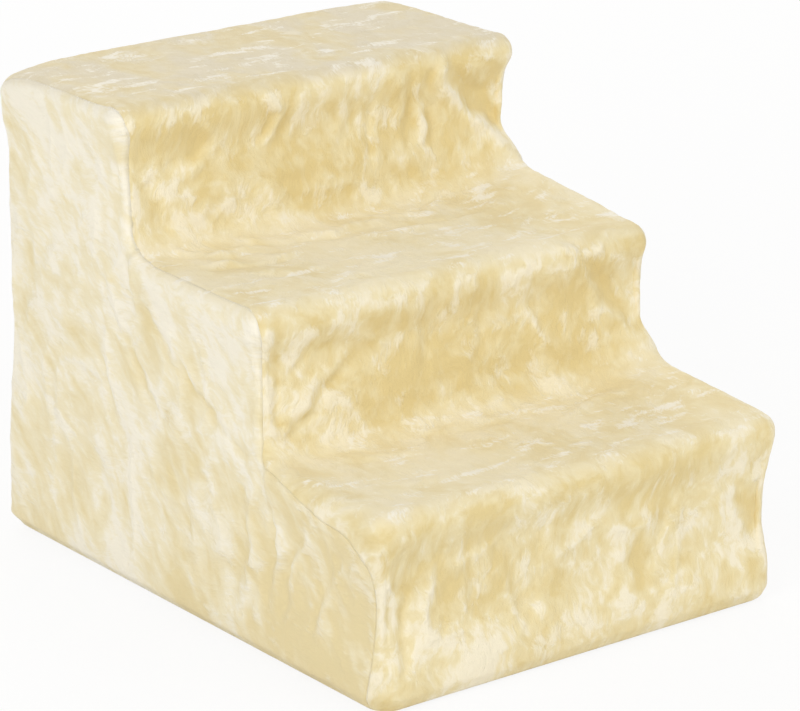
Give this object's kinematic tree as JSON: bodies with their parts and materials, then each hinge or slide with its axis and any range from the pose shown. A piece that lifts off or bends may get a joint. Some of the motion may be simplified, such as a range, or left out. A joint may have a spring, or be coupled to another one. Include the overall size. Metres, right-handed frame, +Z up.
{
  "type": "pet stairs",
  "caption": "Pet stairs with a loose plush cover over moulded step boards, which stand on tube legs in floor rails with rubber feet.",
  "frame": {"origin": "middle of the footprint, on the floor under the rubber feet", "axes": "+Z up, +Y from the low step to the back, +X to the right as one climbs"},
  "size_m": [0.345, 0.45, 0.345],
  "materials": {
    "plush": "short-pile plush, mottled by the lay of its pile",
    "elastic": "woven elastic",
    "moulded": "fine moulded grain",
    "tube": "extruded, satin",
    "rubber": "matt"
  },
  "bodies": {
    "root": {"cover_step_panel": "plush", "cover_side_left": "plush", "cover_side_right": "plush", "cover_back_panel": "plush", "hem_elastic": "elastic", "tread_board_low": "moulded", "tread_board_middle": "moulded", "tread_board_top": "moulded", "base_rail_left": "moulded", "base_rail_right": "moulded", "leg_low_front_left": "tube", "leg_low_front_right": "tube", "leg_low_rear_left": "tube", "leg_low_rear_right": "tube", "leg_middle_front_left": "tube", "leg_middle_front_right": "tube", "leg_middle_rear_left": "tube", "leg_middle_rear_right": "tube", "leg_top_front_left": "tube", "leg_top_front_right": "tube", "leg_top_rear_left": "tube", "leg_top_rear_right": "tube", "cross_tube_front": "tube", "cross_tube_middle": "tube", "cross_tube_rear": "tube", "rubber_feet": "rubber"}
  },
  "joints": []
}
